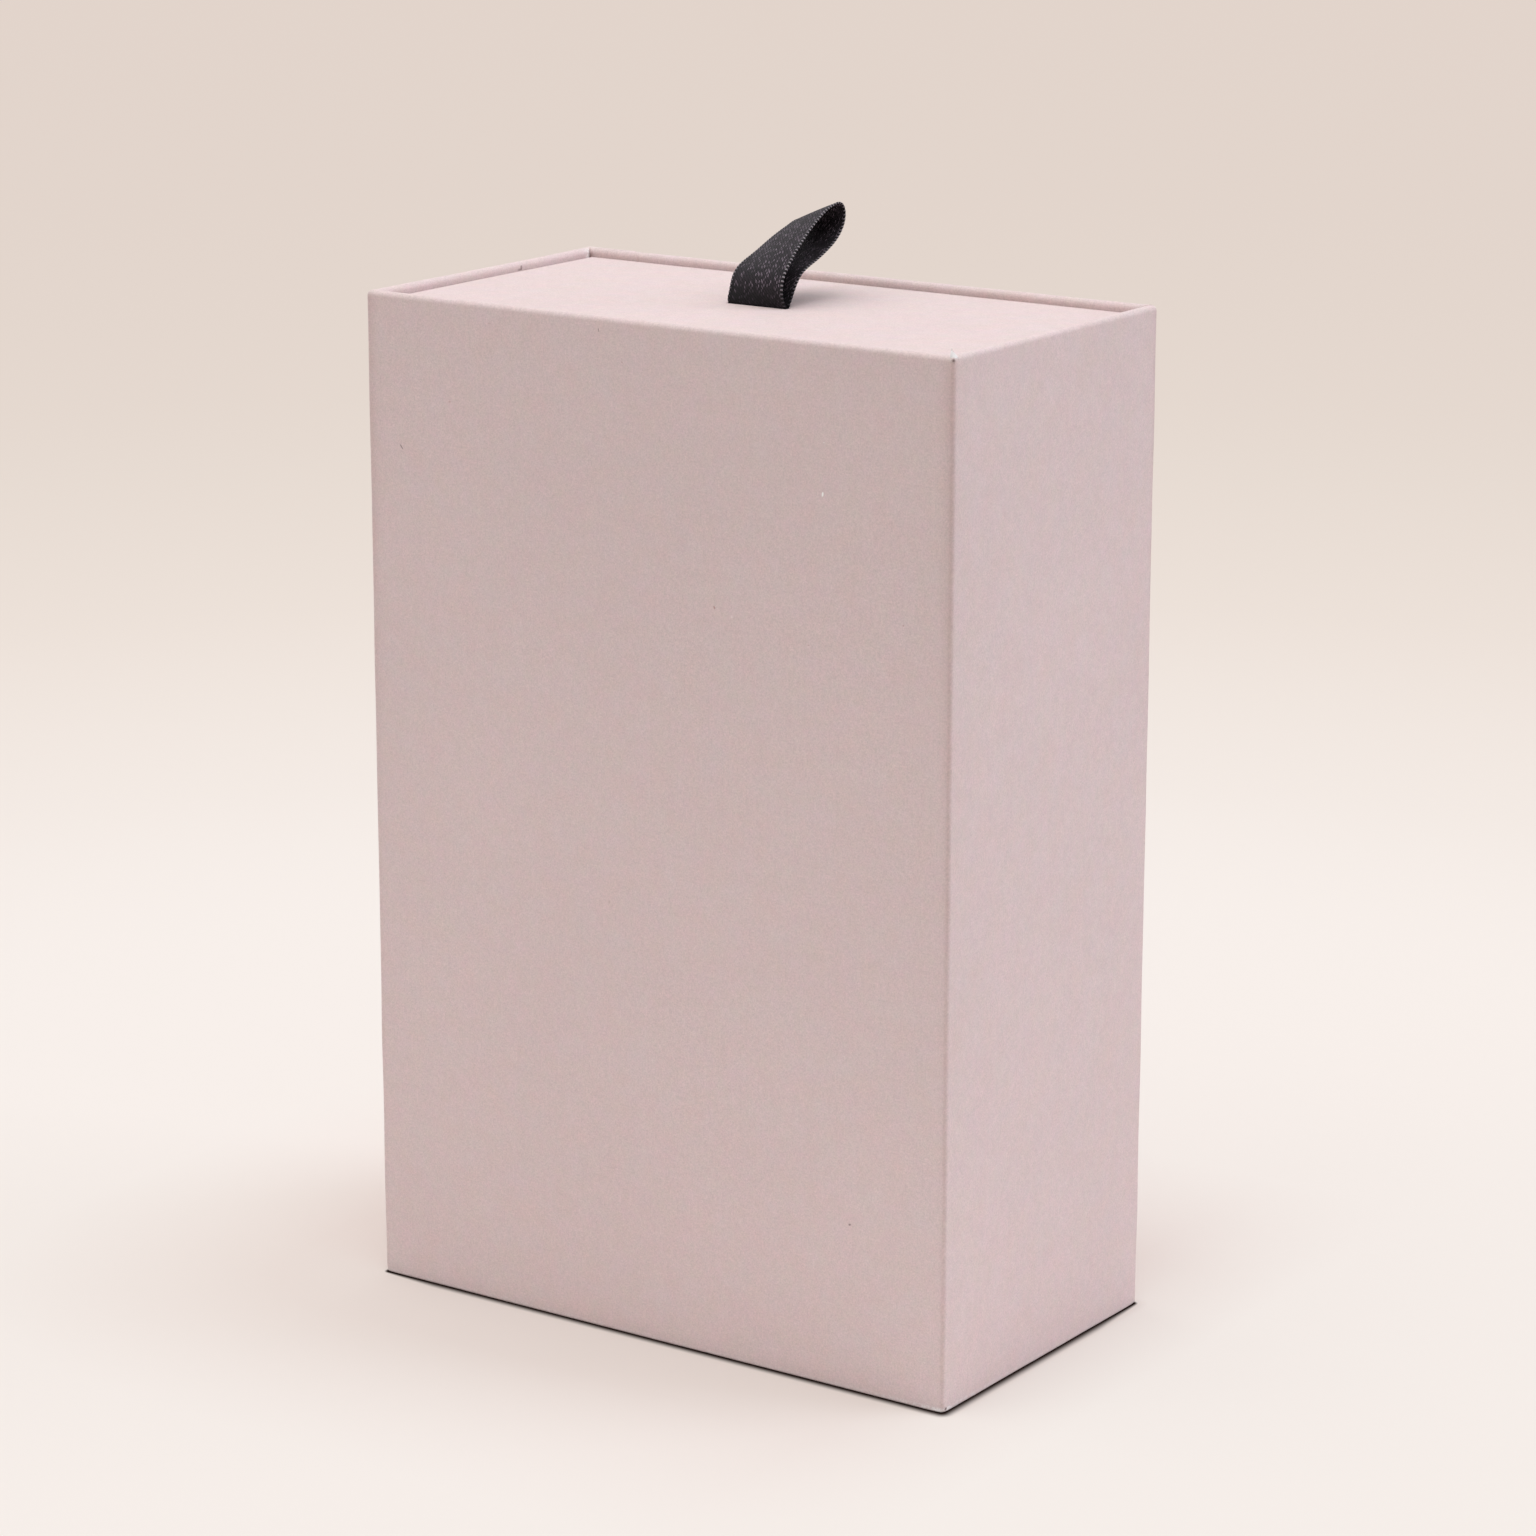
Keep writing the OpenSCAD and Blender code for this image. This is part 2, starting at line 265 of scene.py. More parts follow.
def specks(s, scale, rim, core, dark_above, pale_below):
    """Scattered specks, in two lots: where the dark ones are, and where the pale ones."""
    cells = s.add("TexVoronoi", {"Vector": s.place, "Scale": scale})
    chance = s.add("SeparateColor", {"Color": cells.outputs["Color"]}).outputs[0]
    near = s.spread(cells.outputs["Distance"], rim, core)
    dark = s.maths("MULTIPLY", near, s.maths("GREATER_THAN", chance, dark_above))
    pale = s.maths("MULTIPLY", near, s.maths("LESS_THAN", chance, pale_below))
    return dark, pale


def mark(shader, at, half, angle=0.0, hard=0.6):
    """A small spot or hair: 1 on it, 0 off it. Its half sizes are in millimetres, and it is
    turned about Y."""
    moved = shader.vector("SUBTRACT", shader.place, tuple(v * MM for v in at)).outputs[0]
    turned = shader.add("VectorRotate", {
        "Vector": moved, "Angle": math.radians(angle), "Axis": (0.0, 1.0, 0.0),
    }, rotation_type="AXIS_ANGLE").outputs[0]
    scaled = shader.vector("DIVIDE", turned, tuple(v * MM for v in half)).outputs[0]
    far = shader.vector("LENGTH", scaled).outputs["Value"]
    return shader.spread(far, 1.0, hard)


def wrap_material(name, colour, marks=()):
    """Matt coloured wrapping paper: fine grain, faint clouds of tint, sparse flecks of
    pulp, painted shade on the rounded corners and folds and in small holes and gaps, and
    the hardest points worn pale; the same pale paint is a painted highlight on one ear."""
    s = Shader(name)

    def moved(by):
        return s.vector("ADD", s.place, by).outputs[0]

    grain = s.noise(2600.0, 2.0, 0.7)
    tooth = s.noise(1100.0, 3.0, 0.6, moved((0.7, 0.2, 0.9)))
    mottle = s.noise(300.0, 3.0, 0.6)
    cloud = s.noise(16.0, 2.0, 0.5)
    pinker = s.noise(130.0, 5.0, 0.72, moved((3.1, 1.7, 0.4)))
    bluer = s.noise(150.0, 5.0, 0.72, moved((0.3, 4.2, 2.6)))
    warm, cool = ([c * k for c, k in zip(colour, way)] for way in (
        (1.014, 0.984, 0.990), (0.986, 1.011, 1.004)
    ))
    base = s.mix(s.spread(pinker, 0.33, 0.67), warm, cool)
    base = s.mix(
        s.spread(bluer, 0.33, 0.67, 0.0, 0.5), base, (1.0, 1.0, 0.90), "MULTIPLY")
    speckle = s.noise(560.0, 3.0, 0.65, moved((1.3, 0.6, 2.2)))
    tint = s.mix(
        s.spread(speckle, 0.34, 0.66), (1.0, 0.981, 0.995), (0.981, 1.0, 0.984))
    base = s.mix(1.0, base, tint, "MULTIPLY")
    for value, reach in (
        (grain, 0.100), (tooth, 0.046), (mottle, 0.021), (cloud, 0.014),
    ):
        base = s.vary(base, value, reach)
    dark, pale = specks(s, 95.0, 0.040, 0.015, 0.94, 0.03)
    base = s.mix(s.maths("MULTIPLY", dark, 0.30), base, (0.30, 0.17, 0.15))
    base = s.mix(s.maths("MULTIPLY", pale, 0.35), base, (0.93, 0.88, 0.86))
    # painted shade: darker tone on the rounded corners and folds, where less light falls
    base = s.mix(s.painted("edge"), base, (0.895, 0.855, 0.84), "MULTIPLY")
    scuff = s.spread(s.noise(900.0, 3.0, 0.7), 0.36, 0.60)
    # worn pale paper; on the rim's corner ear it is also a painted highlight
    wear_and_highlight = s.maths("MULTIPLY", s.painted("wear_and_highlight"), scuff, clamp=True)
    base = s.mix(wear_and_highlight, base, (0.90, 0.845, 0.83))
    # painted shade in small holes and gaps
    painted_shade = s.maths("MULTIPLY", s.painted("painted_shade"), 1.0, clamp=True)
    base = s.mix(painted_shade, base, (0.10, 0.055, 0.045))
    for at, half, angle, ink, amount in marks:
        spot = s.maths("MULTIPLY", mark(s, at, half, angle), amount)
        base = s.mix(spot, base, ink)
    fibre_place = s.add("Mapping", {
        "Vector": s.place, "Scale": (1.0, 1.0, 0.35), "Rotation": (0.3, 0.5, 0.2),
    }).outputs[0]
    fibres = s.noise(1400.0, 3.0, 0.7, fibre_place)
    relief = s.maths(
        "ADD", s.maths("MULTIPLY", fibres, 0.5), s.maths("MULTIPLY", tooth, 0.7))
    normal = s.bump(relief, 0.00006, 0.5)
    rough = s.spread(tooth, 0.3, 0.7, 0.60, 0.72)
    return s.surface(
        Base_Color=base, Roughness=rough, Normal=normal,
        Specular_IOR_Level=0.3, Sheen_Weight=0.04, Sheen_Roughness=0.6,
    )


def lining_material():
    """Uncoated lining paper, a shade paler than the wrap, with longer fibres."""
    s = Shader("lining_paper")
    along = s.add("Mapping", {"Vector": s.place, "Scale": (1.0, 1.0, 0.22)}).outputs[0]
    fibres = s.noise(900.0, 4.0, 0.65, along)
    mottle = s.noise(240.0, 3.0, 0.6)
    base = s.mix(
        s.spread(mottle, 0.35, 0.65), (0.745, 0.635, 0.615), (0.715, 0.625, 0.612))
    base = s.vary(base, fibres, 0.04)
    base = s.vary(base, s.noise(22.0), 0.02)
    normal = s.bump(fibres, 0.00008, 0.6)
    return s.surface(
        Base_Color=base, Normal=normal, Roughness=s.spread(fibres, 0.3, 0.7, 0.78, 0.9),
        Specular_IOR_Level=0.25,
    )


def board_material():
    """Raw recycled greyboard: flecked grey pulp with dark and light chips."""
    s = Shader("greyboard")
    pulp = s.noise(700.0, 4.0, 0.7)
    cloud = s.noise(90.0, 2.0, 0.5)
    base = s.mix(s.spread(pulp, 0.3, 0.7), (0.23, 0.215, 0.19), (0.36, 0.34, 0.305))
    base = s.vary(base, cloud, 0.06)
    dark, pale = specks(s, 620.0, 0.4, 0.2, 0.86, 0.1)
    base = s.mix(dark, base, (0.10, 0.09, 0.085))
    base = s.mix(pale, base, (0.55, 0.52, 0.47))
    normal = s.bump(pulp, 0.0001, 0.8)
    return s.surface(
        Base_Color=base, Normal=normal, Roughness=s.spread(pulp, 0.3, 0.7, 0.82, 0.95),
        Specular_IOR_Level=0.2,
    )


def tape_material():
    """Brown gummed kraft tape with long fibres and a slight glaze."""
    s = Shader("stay_tape")
    along = s.add("Mapping", {"Vector": s.place, "Scale": (1.0, 1.0, 0.12)}).outputs[0]
    fibres = s.noise(1100.0, 4.0, 0.7, along)
    base = s.mix(s.spread(fibres, 0.3, 0.7), (0.36, 0.22, 0.11), (0.50, 0.33, 0.18))
    base = s.vary(base, s.noise(60.0), 0.07)
    normal = s.bump(fibres, 0.00005, 0.6)
    return s.surface(
        Base_Color=base, Normal=normal, Roughness=s.spread(fibres, 0.3, 0.7, 0.45, 0.65),
        Specular_IOR_Level=0.4,
    )


def ribbon_material():
    """Black woven ribbon: fine warp threads, floats stepped one thread a row as in a
    twill, and a looped selvedge along both edges. The threads' crowns get painted
    highlights, and the cloth just above the slit painted shade. The strip keeps its own
    places across and along."""
    s = Shader("ribbon")
    across = s.painted("across")
    along = s.painted("along")
    thread = s.maths("DIVIDE", across, THREAD)
    index = s.maths("FLOOR", thread)
    picks = s.maths("ADD", s.maths("DIVIDE", along, THREAD), index)
    float_at = s.maths("DIVIDE", picks, 3.0)
    float_index = s.maths("FLOOR", float_at)
    over = s.maths("SINE", s.maths("MULTIPLY", s.maths("FRACT", float_at), math.pi))
    round_thread = s.maths(
        "ABSOLUTE", s.maths("SINE", s.maths("MULTIPLY", thread, math.pi)))
    weave = s.maths("MULTIPLY", s.maths("POWER", over, 0.8), round_thread)
    cell = s.add("CombineXYZ", {"X": index, "Y": float_index}).outputs[0]
    luck = s.add(
        "TexWhiteNoise", {"Vector": cell}, noise_dimensions="2D").outputs["Value"]
    patch = s.noise(300.0, 3.0, 0.6)
    # painted highlights: the crowns of threads and floats are lighter, and some floats
    # glint
    shine = s.maths("MULTIPLY", weave, s.spread(luck, 0.0, 1.0, 0.25, 1.0))
    shine = s.maths("MULTIPLY", shine, s.spread(patch, 0.35, 0.65, 0.75, 1.2))
    base = s.mix(shine, (0.0040, 0.0032, 0.0040), (0.062, 0.046, 0.059))
    float_glint = s.maths("MULTIPLY", s.spread(luck, 0.66, 0.94), s.spread(weave, 0.25, 0.8))
    base = s.mix(s.maths("MULTIPLY", float_glint, 0.80), base, (0.30, 0.235, 0.285))
    edge = s.painted("selvedge")
    stitch = s.maths("SINE", s.maths("MULTIPLY", along, 2 * math.pi / STITCH))
    knot = s.spread(stitch, 0.0, 0.9)
    rim = s.mix(knot, (0.006, 0.005, 0.006), (0.27, 0.235, 0.255))
    base = s.mix(edge, base, rim)
    # painted shade: the cloth is darkened low down, just above the slit
    base = s.mix(s.painted("painted_slit_shade"), base, (0.20, 0.20, 0.22), "MULTIPLY")
    height = s.maths("MULTIPLY", weave, s.spread(edge, 0.0, 1.0, 1.0, 0.2))
    height = s.maths(
        "ADD", height, s.maths("MULTIPLY", s.maths("MULTIPLY", knot, edge), 0.8))
    normal = s.bump(height, 0.00012, 0.9)
    return s.surface(
        Base_Color=base, Normal=normal, Roughness=s.spread(luck, 0.0, 1.0, 0.5, 0.75),
        Specular_IOR_Level=0.2, Sheen_Weight=0.025, Sheen_Roughness=0.45,
        Sheen_Tint=(0.9, 0.7, 0.8, 1.0),
    )


PINK = (0.682, 0.536, 0.5365)
DARK_INK = (0.16, 0.09, 0.085)
PALE_INK = (0.95, 0.93, 0.90)
RED_INK = (0.42, 0.20, 0.18)
FRONT_Y = SLEEVE_LOW[1]
LEFT_INSIDE = SLEEVE_LOW[0] + WALL
# The photo's spots and hairs: place, half sizes, turn about Y, colour, strength
SLEEVE_MARKS = (
    ((-65.9, FRONT_Y, 190.8), (0.80, 0.5, 0.16), -52, DARK_INK, 0.75),
    ((43.7, FRONT_Y, 192.8), (0.62, 0.5, 0.28), 80, PALE_INK, 0.9),
    ((44.0, FRONT_Y, 203.5), (0.24, 0.5, 0.20), 0, PALE_INK, 0.35),
    ((16.7, FRONT_Y, 165.8), (0.26, 0.5, 0.44), 25, RED_INK, 0.7),
    ((40.4, FRONT_Y, 160.9), (0.32, 0.5, 0.16), 0, RED_INK, 0.4),
    ((63.5, FRONT_Y, 168.0), (0.22, 0.5, 0.18), 0, RED_INK, 0.6),
    ((51.3, FRONT_Y, 37.3), (0.36, 0.5, 0.28), 15, DARK_INK, 0.7),
    ((-12.7, FRONT_Y, 221.2), (0.14, 0.6, 0.50), 10, DARK_INK, 0.6),
    ((-41.5, FRONT_Y, 219.9), (0.60, 0.5, 0.14), 0, RED_INK, 0.25),
    ((-6.7, FRONT_Y, 215.0), (0.20, 0.5, 0.20), 0, RED_INK, 0.45),
    ((-52.5, FRONT_Y, 202.0), (0.38, 0.5, 0.26), 20, RED_INK, 0.40),
    ((SLEEVE_HIGH[0], FRONT_Y + 1.2, 0.95), (0.6, 0.42, 0.36), 0, DARK_INK, 0.85),
    ((LEFT_INSIDE, 11.8, 222.75), (0.6, 0.42, 0.62), 0, DARK_INK, 0.6),
    ((LEFT_INSIDE, 11.2, 222.35), (0.6, 0.95, 0.26), 0, DARK_INK, 0.6),
)
paper = wrap_material("wrap_paper", PINK, SLEEVE_MARKS)
drawer_paper = wrap_material("wrap_paper_drawer", PINK)
lining = lining_material()
greyboard = board_material()
kraft = tape_material()
woven = ribbon_material()

CAD_FINISH = {
    "greyboard": greyboard, "stay_tape": kraft, "lining_paper": lining,
    "wrap_paper": drawer_paper,
}
slot_of = {part["node"]: part["material_slot"] for part in frame["record"]["subparts"]}
for node, obj in frame["nodes"].items():
    finish = CAD_FINISH.get(slot_of.get(node))
    if finish is not None:
        obj.data.materials.clear()
        obj.data.materials.append(finish)


# ---- Wrapping papers --------------------------------------------------------------------
# A sheet follows a section round an open box of outer size w by d by h, which stands on
# z = 0 with its open side up. The section's points are (inset from the outer face, height).

# Stations stand close together within GRADED of a corner. A flap's lift starts at the
# corner's middle and takes in so many stations.
NEAR = (0.06, 0.3, 0.7, 1.3, 2.2, 3.5, 5.5, 8.5)
GRADED = 12.0
ARC_STEPS = 8
FLAP_STATIONS = 14


class Stations:
    """Where the section stands round the box: along four sides, and round four corners.
    In a row (kind, side, a, b), a side's station lies a from the side's start plus b times
    the length between its graded ends, and an arc's at the share a of its turn. Extra
    stations push out the even ones that they come too close to."""

    def __init__(self, w, d, step, extra=((), (), (), ())):
        self.w, self.d = w, d
        self.rows = []
        for side in range(4):
            length = (w if side % 2 == 0 else d) - 2 * GRADED
            count = max(2, round(length / step))
            middle = [(GRADED, i / count) for i in range(count + 1)]
            for a, b in extra[side]:
                at = a + b * length
                middle = [m for m in middle
                          if abs(m[0] + m[1] * length - at) > step * 0.3]
            middle += extra[side]
            middle.sort(key=lambda m: m[0] + m[1] * length)
            spots = [(e, 0.0) for e in NEAR] + middle
            spots += [(2 * GRADED - e, 1.0) for e in reversed(NEAR)]
            self.rows += [("side", side, a, b) for a, b in spots]
            self.rows += [("arc", side, i / ARC_STEPS, 0.0) for i in range(ARC_STEPS + 1)]

    def of(self, kind, side):
        """Indices of one side's or one corner's rows."""
        return [i for i, row in enumerate(self.rows) if row[:2] == (kind, side)]

    def ring(self, inset, radius):
        """Points of the ring at this inset, its corners rounded to radius."""
        half = (self.w / 2 - inset, self.d / 2 - inset)
        points = []
        for kind, side, a, b in self.rows:
            run, out = half if side % 2 == 0 else half[::-1]
            if kind == "side":
                length = 2 * (run - radius)
                along = -run + radius + a + b * (length - 2 * GRADED)
                away = out
            else:
                angle = a * math.pi / 2
                along = run - radius + radius * math.sin(angle)
                away = out - radius + radius * math.cos(angle)
            x, y = along, -away
            for _ in range(side):
                x, y = -y, x
            points.append((x, y))
        return np.array(points)


def bend(centre, radius, start, end, count=7):
    """Points of a turn in the section, angles in degrees."""
    angles = np.radians(np.linspace(start, end, count + 1)[1:-1])
    return [(centre[0] + radius * math.cos(a), centre[1] + radius * math.sin(a))
            for a in angles]


def section(h, start, heights, r, foot=FOLD_R):
    """From the flap under the closed side, up the wall, over a rim of radius r and down
    inside."""
    flat = [(inset, 0.0) for inset in start] + [(foot, 0.0)]
    low = bend((foot, foot), foot, 270, 180)
    wall = [(0.0, foot)] + [(0.0, z) for z in heights] + [(0.0, h - r)]
    top = bend((r, h - r), r, 180, 90)
    rim = [(r, h), (WALL / 2, h), (WALL - r, h)]
    inner = bend((WALL - r, h - r), r, 90, 0)
    turned = [(WALL, h - r)]
    turned += [(WALL, h - e)
               for e in (1.3, 1.7, 2.4, 3.6, 5.5, 8.0, 11.0, 14.0, TURN_IN)]
    return flat + low + wall + top + rim + inner + turned


def normals_of(grid):
    """Outward normals of a closed-round grid of points [row, station]."""
    along = np.roll(grid, -1, axis=1) - np.roll(grid, 1, axis=1)
    up = np.empty_like(grid)
    up[1:-1] = grid[2:] - grid[:-2]
    up[0], up[-1] = grid[1] - grid[0], grid[-1] - grid[-2]
    n = np.cross(along, up)
    length = np.linalg.norm(n, axis=2, keepdims=True)
    return n / np.maximum(length, 1e-9)


def sweep(stations, profile):
    """Points of the section all round the box: [row of the section, station, xyz]."""
    grid = []
    for inset, z in profile:
        ring = stations.ring(inset, max(CORNER_R - inset, INNER_CORNER_R))
        grid.append(np.column_stack([ring, np.full(len(ring), z)]))
    return np.array(grid)


def grid_faces(rows, columns):
    """Faces between rows of points that close round."""
    return [
        (r * columns + c, r * columns + (c + 1) % columns,
         (r + 1) * columns + (c + 1) % columns, (r + 1) * columns + c)
        for r in range(rows - 1) for c in range(columns)
    ]


def corner_fold(stations, grid, profile):
    """At each rim corner one turned-in flap lies over the other: a step along the mitre."""
    lift = np.zeros(grid.shape[:2])
    count = len(stations.rows)
    for side in range(4):
        middle = stations.of("arc", side)[ARC_STEPS // 2]
        for k in range(FLAP_STATIONS):
            i = (middle + 1 + k) % count
            away = np.linalg.norm(grid[:, i, :2] - grid[:, middle, :2], axis=1)
            lift[:, i] += FLAP_LIFT * np.exp(-away / 2.6)
    # only over the rim and down inside
    inset = np.array([p[0] for p in profile])
    order = np.arange(len(profile))
    first_rim = int(np.argmax((inset > 0.45) & (order > len(profile) // 2)))
    weight = smooth(order.astype(float), first_rim - 2, first_rim + 2)
    return lift * weight[:, None]


def pleat_corners(stations, profile, flat):
    """The turned-in sheet makes a small pleat in each inner corner. Beside two of the
    corners a flap's end stands up in a narrow ridge, with painted shade by it for a gap.
    Moves the points and returns the ridges and where that shade goes."""
    rows, columns = len(profile), len(stations.rows)
    inset = np.array([q[0] for q in profile])
    deep = smooth(inset, 1.2, WALL)
    inner = smooth(inset, 1.3, 2.2) * (np.arange(rows) > rows // 2)
    ways = np.zeros((columns, 2))
    ridge = np.zeros((rows, columns))
    gap_shade_mask = np.zeros((rows, columns))
    for i, (kind, side, a, b) in enumerate(stations.rows):
        if kind == "arc":
            angle = math.radians(-45 + 90 * side)
            ways[i] = -np.array([math.cos(angle), math.sin(angle)]) * math.exp(
                -((a - 0.5) / 0.22) ** 2)
        elif b == 0.0 and side in (1, 3):
            strength = 1.0 if side == 3 else 0.35
            ridge[:, i] = inner * strength * math.exp(-((a - 1.3) / 0.8) ** 4)
            gap_shade_mask[:, i] = inner * strength * math.exp(-((a - 0.1) / 0.55) ** 2)
    flat[:, :2] += (PLEAT * deep[:, None, None] * ways[None, :, :]).reshape(-1, 2)
    inward = -np.sign(flat[:, 0])
    flat[:, 0] += RIDGE * inward * ridge.reshape(-1)
    return ridge.reshape(-1), gap_shade_mask.reshape(-1)


def paint_sleeve(obj, points, ridge, gap_shade_mask):
    """Painted shade darkens the rounded upright corners and folds, wear lies along hard
    folds and most at the corners, and painted shade fills a small hole under the rim's near
    corner and tiny gaps where flaps meet."""
    low, high = SLEEVE_LOW, SLEEVE_HIGH
    w, d, _ = high - low
    x, y, z = points.T
    to_x, to_y = w / 2 - np.abs(x), d / 2 - np.abs(y)
    to_top, to_foot = high[2] - z, z - low[2]
    outside = np.minimum(to_x, to_y) < 1.3
    # Painted shade down the rounded upright corners, which face away from the lamps: wider
    # on the front and back faces, and wider and stronger towards the top
    upper = smooth(z, 70, 210)
    edge = np.where(to_y < to_x, np.exp(-(to_x / (1.1 + 1.2 * upper)) ** 2),
                    np.exp(-(to_y / (0.6 + 0.45 * upper)) ** 2))
    edge *= outside * (0.5 + 0.42 * upper)
    paint(obj, "edge", edge * (1 - smooth(z, high[2] - 1.0, high[2] - 0.2)))
    near = (x > 0) & (y < 0)
    foot = np.exp(-((to_foot - 0.6) / 0.4) ** 2) * outside
    to_near = np.where(near, to_x + to_y, 1e3)
    foot *= 0.22 + 0.95 * np.exp(-to_near / 11)
    tips = np.exp(-(to_x + to_y + np.minimum(to_top, to_foot)) / 0.8)
    paint(obj, "wear_and_highlight", foot + tips * (0.5 + 0.8 * near) + 1.05 * ridge)
    # painted shade in the small hole under the rim's near corner, and in the gaps by the
    # ridges
    hole = np.exp(-(
        (x - w / 2 + 0.3) ** 2 + (y + d / 2 - 0.25) ** 2 + ((to_top - 0.75) * 1.1) ** 2
    ) / 0.10)
    paint(obj, "painted_shade", 1.1 * hole + 0.62 * gap_shade_mask * smooth(to_top, 0.25, 0.9))


def sleeve_sheet():
    """The sleeve's sheet: round four walls, over the rim and in, and under the end."""
    w, d, h = SLEEVE_HIGH - SLEEVE_LOW
    lap_end = 2 * GRADED - LAP
    stations = Stations(w, d, 4.5, ((), (), ((lap_end, 1.0), (lap_end - 0.08, 1.0)), ()))
    heights = sorted(
        [0.8, 1.3, 2.0, 3.2, 5.0, 8.0]
        + list(np.arange(12, h - 12, 3.6))
        + [h - e for e in (8.0, 5.0, 3.2, 2.2, 1.6)]
        + DENT_ROWS
    )
    under = (TURN_UNDER, 11.0, 7.0, 4.0, 2.2, 1.3)
    profile = section(h, under, heights, SLEEVE_RIM_R, FOOT_R)
    grid = sweep(stations, profile)
    n = normals_of(grid)
    rows, columns = grid.shape[:2]
    flat = grid.reshape(-1, 3)
    # board is never quite flat, and its upright edges wander a little
    out = 0.035 * ripple(flat, 70, 3) + 0.02 * ripple(flat, 24, 5)
    to_x, to_y = w / 2 - np.abs(flat[:, 0]), d / 2 - np.abs(flat[:, 1])
    on_wall = np.minimum(np.abs(to_x), np.abs(to_y)) < 1.3
    near_corner = np.exp(-(to_x + to_y) / 2.2) * on_wall
    out += 0.07 * near_corner * ripple(flat * (0, 0, 1), 30, 8)
    out = out.reshape(rows, columns) + corner_fold(stations, grid, profile)
    # the sheet's end lies over its start on the back, beside the corner
    for i, (kind, side, a, b) in enumerate(stations.rows):
        if side == 2 and kind == "side" and b == 1.0 and a >= lap_end:
            out[:, i] += LAP_LIFT
        elif side == 2 and kind == "arc":
            out[:, i] += LAP_LIFT * (1 - a)
    flat = (grid + n * out[:, :, None]).reshape(-1, 3)
    for height, reach, deep in DENTS:
        away = np.sqrt(
            (flat[:, 0] - w / 2 + 0.4) ** 2 + (flat[:, 1] + d / 2 - 0.3) ** 2
            + ((flat[:, 2] - height) * 0.8) ** 2
        )
        flat -= n.reshape(-1, 3) * (deep * np.exp(-(away / reach) ** 2))[:, None]
    ridge, gap_shade_mask = pleat_corners(stations, profile, flat)
    # the lower corners are knocked in a little
    for sx in (-1, 1):
        for sy in (-1, 1):
            tip = np.array([sx * w / 2, sy * d / 2, 0.0])
            way = np.array([-sx, -sy, 1.1]) / 1.79
            away = np.linalg.norm(flat - tip, axis=1)
            flat += way * (KNOCK * np.exp(-(away / 1.4) ** 2))[:, None]
    points = flat + (0, 0, SLEEVE_LOW[2])
    obj = mesh_object("sleeve_paper", points, grid_faces(rows, columns), paper)
    paint_sleeve(obj, points, ridge, gap_shade_mask)
    return obj


def close_base(stations, points, faces):
    """Fills the closed side inside the first ring, with a grid between its four sides and
    a fan in each corner. Returns all the points and faces."""
    runs = [stations.of("side", side) for side in range(4)]
    xs, ys = points[runs[0], 0], points[runs[1], 1]
    nx, ny = len(xs), len(ys)
    base = len(points)

    def at(i, j):
        return base + j * nx + i

    faces += [(at(i, j + 1), at(i + 1, j + 1), at(i + 1, j), at(i, j))
              for i in range(nx - 1) for j in range(ny - 1)]
    borders = (
        [at(i, 0) for i in range(nx)],
        [at(nx - 1, j) for j in range(ny)],
        [at(nx - 1 - i, ny - 1) for i in range(nx)],
        [at(0, ny - 1 - j) for j in range(ny)],
    )
    for side, (run, border) in enumerate(zip(runs, borders)):
        faces += [(run[k + 1], run[k], border[k], border[k + 1])
                  for k in range(len(run) - 1)]
        fan = [run[-1]] + stations.of("arc", side) + [runs[(side + 1) % 4][0]]
        faces += [(b, a, border[-1]) for a, b in zip(fan, fan[1:])]
    return np.vstack([points, [(x, y, 0.0) for y in ys for x in xs]]), faces


def cut_slit(points, faces, face_y, middle):
    """Opens the slit in the wall at y = face_y, its middle at z = middle, and rolls the
    paper's edge down into it. Returns all the points and faces."""
    def in_slit(face):
        x, y, z = points[list(face)].mean(axis=0)
        return (abs(x) < SLIT_HALF_W and abs(z - middle) < SLIT_HALF_H
                and y > face_y - 0.3)

    gone = [in_slit(face) for face in faces]
    sides = [pair for face, cut in zip(faces, gone) if cut
             for pair in zip(face, face[1:] + face[:1])]
    faces = [face for face, cut in zip(faces, gone) if not cut]
    # the hole's border, in the direction of the faces that went
    ahead = {a: b for a, b in sides if (b, a) not in sides}
    ring = [min(ahead)]
    while ahead[ring[-1]] != ring[0]:
        ring.append(ahead[ring[-1]])
    border = points[ring]
    steps = [(SLIT_LIP * math.sin(a), SLIT_LIP * (1 - math.cos(a)))
             for a in np.radians((22, 45, 68, 90))]
    steps += [(1.2, SLIT_LIP), (2.3, SLIT_LIP)]
    for depth, pull in steps:
        lower = border - (0, depth, middle)
        lower[:, 0] *= (SLIT_HALF_W - pull) / SLIT_HALF_W
        lower[:, 2] *= (SLIT_HALF_H - pull) / SLIT_HALF_H
        fresh = list(range(len(points), len(points) + len(ring)))
        points = np.vstack([points, lower + (0, 0, middle)])
        faces += [(ring[k - 1], ring[k], fresh[k], fresh[k - 1])
                  for k in range(len(ring))]
        ring = fresh
    return points, faces


